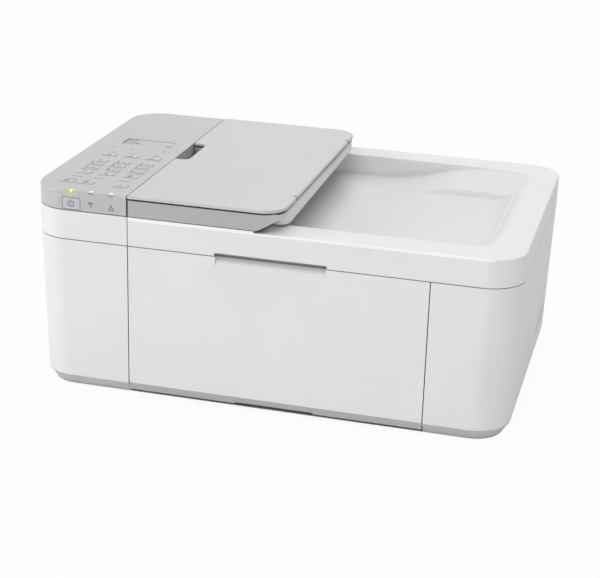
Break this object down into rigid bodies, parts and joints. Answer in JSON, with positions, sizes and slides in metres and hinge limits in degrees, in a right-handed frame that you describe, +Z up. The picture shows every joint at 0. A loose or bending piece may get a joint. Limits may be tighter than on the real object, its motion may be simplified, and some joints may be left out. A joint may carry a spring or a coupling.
{
  "type": "inkjet printer",
  "caption": "All-in-one inkjet printer with a flatbed scanner, a document feeder whose lid opens into a tray, an operation panel, a fold-down front cover and a print carriage.",
  "frame": {"origin": "on the ground under the middle of the body", "axes": "+X to the right seen from the front, -Y is the front, +Z up"},
  "size_m": [0.435, 0.295, 0.189],
  "materials": {
    "white_case": "fine-grained white moulding",
    "inner_white": "plain white moulding",
    "base_grey": "fine-grained grey moulding",
    "panel_grey": "satin silver grey",
    "feeder_grey": "satin light grey",
    "key_grey": "satin light grey",
    "lever_grey": "mid grey moulding",
    "dark_plastic": "dark grey moulding",
    "black_plastic": "black moulding",
    "cartridge_blue": "dark blue moulding",
    "foot_rubber": "soft matt rubber",
    "roller_rubber": "ground rubber",
    "white_foam": "white foam-backed sheet",
    "bright_steel": "plated steel",
    "sheet_steel": "zinc-coated sheet",
    "motor_steel": "plated motor can",
    "circuit_board": "green board",
    "light_guide": "clear light guide",
    "clear_glass": "clear float glass",
    "display_glass": "display behind a clear window"
  },
  "bodies": {
    "housing": {"base_pan": "base_grey", "rubber_feet": "foot_rubber", "left_side_cover": "white_case", "right_side_cover": "white_case", "rear_cover": "white_case", "scanner_frame": "inner_white", "platen_glass": "clear_glass", "scan_rail": "bright_steel", "panel_housing": "white_case", "operation_panel": "panel_grey", "lcd_window": "display_glass", "indicator_lenses": "light_guide", "panel_board": "circuit_board", "main_board": "circuit_board", "power_supply": "black_plastic", "carriage_rail": "sheet_steel", "carriage_drive": "motor_steel", "print_frame": "dark_plastic", "housing_screws": "bright_steel", "feed_belt": "roller_rubber"},
    "scan_bar": {"scan_bar": "black_plastic"},
    "print_carriage": {"carriage": "dark_plastic", "black_cartridge": "black_plastic", "colour_cartridge": "cartridge_blue"},
    "black_latch": {"black_latch": "lever_grey"},
    "colour_latch": {"colour_latch": "lever_grey"},
    "feed_roller": {"feed_roller": "roller_rubber"},
    "exit_roller": {"exit_roller": "roller_rubber"},
    "left_paper_guide": {"left_paper_guide": "dark_plastic"},
    "right_paper_guide": {"right_paper_guide": "dark_plastic"},
    "output_extension": {"output_extension": "dark_plastic"},
    "inner_cover": {"inner_cover": "dark_plastic"},
    "front_cover": {"front_cover": "white_case", "door_strip": "base_grey"},
    "document_cover": {"document_cover": "white_case", "pressure_pad": "white_foam", "adf_frame": "feeder_grey"},
    "document_tray": {"document_tray": "feeder_grey"},
    "adf_roller": {"adf_roller": "roller_rubber"},
    "front_document_guide": {"front_document_guide": "lever_grey"},
    "rear_document_guide": {"rear_document_guide": "lever_grey"},
    "key_1": {"key_1": "key_grey"},
    "key_2": {"key_2": "key_grey"},
    "key_3": {"key_3": "key_grey"},
    "key_4": {"key_4": "key_grey"},
    "key_5": {"key_5": "key_grey"},
    "key_6": {"key_6": "key_grey"},
    "key_7": {"key_7": "key_grey"},
    "key_8": {"key_8": "key_grey"},
    "key_9": {"key_9": "key_grey"},
    "key_star": {"key_star": "key_grey"},
    "key_0": {"key_0": "key_grey"},
    "key_hash": {"key_hash": "key_grey"},
    "left_key": {"left_key": "key_grey"},
    "ok_key": {"ok_key": "key_grey"},
    "right_key": {"right_key": "key_grey"},
    "black_start_key": {"black_start_key": "key_grey"},
    "colour_start_key": {"colour_start_key": "key_grey"},
    "stop_key": {"stop_key": "key_grey"},
    "power_button": {"power_button": "key_grey"}
  },
  "joints": [
    {"name": "scan_bar_slide", "type": "slide", "parent": "housing", "child": "scan_bar", "axis": [1, 0, 0], "range_m": [0, 0.298]},
    {"name": "carriage_slide", "type": "slide", "parent": "housing", "child": "print_carriage", "axis": [1, 0, 0], "range_m": [-0.22, 0]},
    {"name": "black_latch_pivot", "type": "hinge", "parent": "print_carriage", "child": "black_latch", "pos_m": [0.183, 0.0055, 0.09199], "axis": [-1, 0, 0], "range_deg": [0, 18]},
    {"name": "colour_latch_pivot", "type": "hinge", "parent": "print_carriage", "child": "colour_latch", "pos_m": [0.14, 0.0055, 0.09199], "axis": [-1, 0, 0], "range_deg": [0, 18]},
    {"name": "feed_roller_spin", "type": "hinge", "parent": "housing", "child": "feed_roller", "pos_m": [0.0079, 0.062, 0.032], "axis": [1, 0, 0], "continuous": true},
    {"name": "exit_roller_spin", "type": "hinge", "parent": "housing", "child": "exit_roller", "pos_m": [0.0079, -0.034, 0.04499], "axis": [1, 0, 0], "continuous": true},
    {"name": "left_guide_slide", "type": "slide", "parent": "housing", "child": "left_paper_guide", "axis": [1, 0, 0], "range_m": [0, 0.057]},
    {"name": "right_guide_slide", "type": "slide", "parent": "housing", "child": "right_paper_guide", "axis": [1, 0, 0], "range_m": [-0.057, 0]},
    {"name": "extension_slide", "type": "slide", "parent": "housing", "child": "output_extension", "axis": [0, -1, 0], "range_m": [0, 0.046]},
    {"name": "inner_cover_hinge", "type": "hinge", "parent": "housing", "child": "inner_cover", "pos_m": [0.0079, -0.0535, 0.05999], "axis": [1, 0, 0], "range_deg": [0, 85]},
    {"name": "front_cover_hinge", "type": "hinge", "parent": "housing", "child": "front_cover", "pos_m": [0.0079, -0.14, 0.012], "axis": [1, 0, 0], "range_deg": [0, 90]},
    {"name": "document_cover_hinge", "type": "hinge", "parent": "housing", "child": "document_cover", "pos_m": [0.0458, 0.1355, 0.15545], "axis": [-1, 0, 0], "range_deg": [0, 65]},
    {"name": "document_tray_hinge", "type": "hinge", "parent": "document_cover", "child": "document_tray", "pos_m": [0.01055, 0, 0.187], "axis": [0, 1, 0], "range_deg": [0, 155]},
    {"name": "adf_roller_spin", "type": "hinge", "parent": "document_cover", "child": "adf_roller", "pos_m": [-0.08485, 0, 0.1774], "axis": [0, 1, 0], "continuous": true},
    {"name": "front_guide_slide", "type": "slide", "parent": "document_cover", "child": "front_document_guide", "axis": [0, 1, 0], "range_m": [0, 0.033]},
    {"name": "rear_guide_slide", "type": "slide", "parent": "document_cover", "child": "rear_document_guide", "axis": [0, 1, 0], "range_m": [-0.033, 0]},
    {"name": "key_1_press", "type": "slide", "parent": "housing", "child": "key_1", "axis": [0, 0, -1], "range_m": [0, 0.0008], "stiffness_N_per_m": 500},
    {"name": "key_2_press", "type": "slide", "parent": "housing", "child": "key_2", "axis": [0, 0, -1], "range_m": [0, 0.0008], "stiffness_N_per_m": 500},
    {"name": "key_3_press", "type": "slide", "parent": "housing", "child": "key_3", "axis": [0, 0, -1], "range_m": [0, 0.0008], "stiffness_N_per_m": 500},
    {"name": "key_4_press", "type": "slide", "parent": "housing", "child": "key_4", "axis": [0, 0, -1], "range_m": [0, 0.0008], "stiffness_N_per_m": 500},
    {"name": "key_5_press", "type": "slide", "parent": "housing", "child": "key_5", "axis": [0, 0, -1], "range_m": [0, 0.0008], "stiffness_N_per_m": 500},
    {"name": "key_6_press", "type": "slide", "parent": "housing", "child": "key_6", "axis": [0, 0, -1], "range_m": [0, 0.0008], "stiffness_N_per_m": 500},
    {"name": "key_7_press", "type": "slide", "parent": "housing", "child": "key_7", "axis": [0, 0, -1], "range_m": [0, 0.0008], "stiffness_N_per_m": 500},
    {"name": "key_8_press", "type": "slide", "parent": "housing", "child": "key_8", "axis": [0, 0, -1], "range_m": [0, 0.0008], "stiffness_N_per_m": 500},
    {"name": "key_9_press", "type": "slide", "parent": "housing", "child": "key_9", "axis": [0, 0, -1], "range_m": [0, 0.0008], "stiffness_N_per_m": 500},
    {"name": "key_star_press", "type": "slide", "parent": "housing", "child": "key_star", "axis": [0, 0, -1], "range_m": [0, 0.0008], "stiffness_N_per_m": 500},
    {"name": "key_0_press", "type": "slide", "parent": "housing", "child": "key_0", "axis": [0, 0, -1], "range_m": [0, 0.0008], "stiffness_N_per_m": 500},
    {"name": "key_hash_press", "type": "slide", "parent": "housing", "child": "key_hash", "axis": [0, 0, -1], "range_m": [0, 0.0008], "stiffness_N_per_m": 500},
    {"name": "left_key_press", "type": "slide", "parent": "housing", "child": "left_key", "axis": [0, 0, -1], "range_m": [0, 0.0008], "stiffness_N_per_m": 500},
    {"name": "ok_key_press", "type": "slide", "parent": "housing", "child": "ok_key", "axis": [0, 0, -1], "range_m": [0, 0.0008], "stiffness_N_per_m": 500},
    {"name": "right_key_press", "type": "slide", "parent": "housing", "child": "right_key", "axis": [0, 0, -1], "range_m": [0, 0.0008], "stiffness_N_per_m": 500},
    {"name": "black_start_key_press", "type": "slide", "parent": "housing", "child": "black_start_key", "axis": [0, 0, -1], "range_m": [0, 0.0008], "stiffness_N_per_m": 500},
    {"name": "colour_start_key_press", "type": "slide", "parent": "housing", "child": "colour_start_key", "axis": [0, 0, -1], "range_m": [0, 0.0008], "stiffness_N_per_m": 500},
    {"name": "stop_key_press", "type": "slide", "parent": "housing", "child": "stop_key", "axis": [0, 0, -1], "range_m": [0, 0.0008], "stiffness_N_per_m": 500},
    {"name": "power_button_press", "type": "slide", "parent": "housing", "child": "power_button", "axis": [0, 1, 0], "range_m": [0, 0.0008], "stiffness_N_per_m": 500}
  ],
  "couplings": [
    {"joint": "exit_roller_spin", "follows": "feed_roller_spin", "ratio": 2.8},
    {"joint": "right_guide_slide", "follows": "left_guide_slide", "ratio": -1},
    {"joint": "rear_guide_slide", "follows": "front_guide_slide", "ratio": -1}
  ]
}
